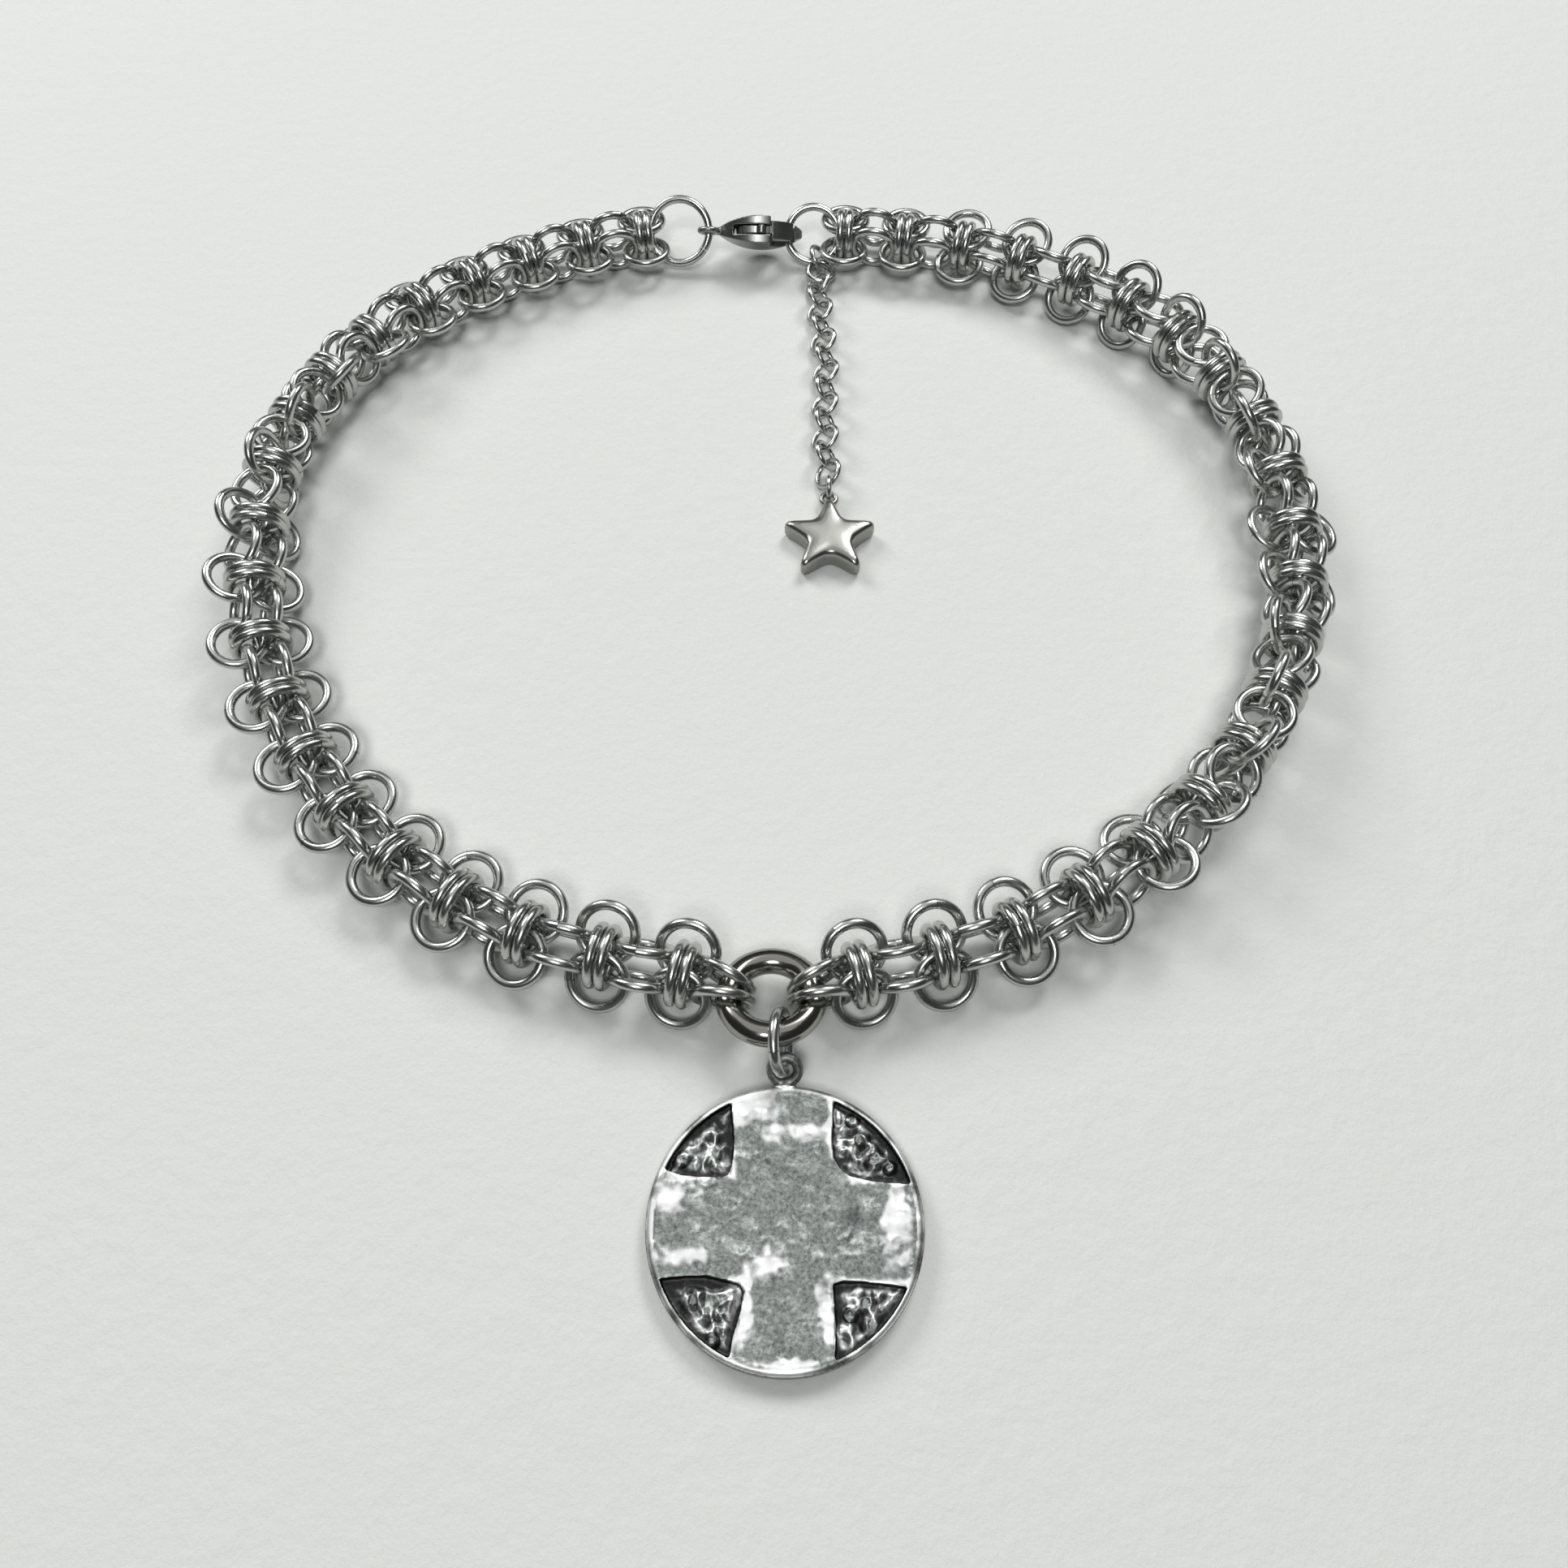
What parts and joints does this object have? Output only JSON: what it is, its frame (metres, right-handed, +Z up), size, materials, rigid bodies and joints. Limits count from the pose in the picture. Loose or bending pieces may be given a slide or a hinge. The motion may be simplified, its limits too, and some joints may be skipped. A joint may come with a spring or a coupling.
{
  "type": "chainmail choker",
  "caption": "Chainmail choker of woven steel jump rings with a round medallion on a centre ring, a lobster clasp and a short extender chain that ends in a star.",
  "frame": {"origin": "centre of the necklace's whole footprint, on the surface that it lies on", "axes": "+Z up from the surface, the medallion towards -Y and the clasp towards +Y, +X to the right seen from the medallion's side"},
  "size_m": [0.1476, 0.1678, 0.0128],
  "materials": {
    "ring_steel": "polished stainless steel wire",
    "antique_cast": "hammered cast metal, blackened in the sunk quarters",
    "clasp_steel": "smooth polished",
    "star_polish": "bright polished"
  },
  "bodies": {
    "choker": {"chain_left": "ring_steel", "chain_right": "ring_steel", "center_ring": "ring_steel", "pendant_ring": "ring_steel", "pendant": "antique_cast", "clasp_ring": "ring_steel", "clasp_body": "clasp_steel", "extender_ring": "ring_steel", "extender_chain": "ring_steel", "star_ring": "ring_steel", "star_charm": "star_polish"},
    "lever": {"clasp_lever": "clasp_steel"}
  },
  "joints": [
    {"name": "clasp_lever_hinge", "type": "hinge", "parent": "choker", "child": "lever", "pos_m": [-0.00639, 0.07676, 0.00571], "axis": [0.0293, 0.7253, 0.6878], "range_deg": [0, 12], "stiffness_Nm_per_rad": 0.008}
  ]
}
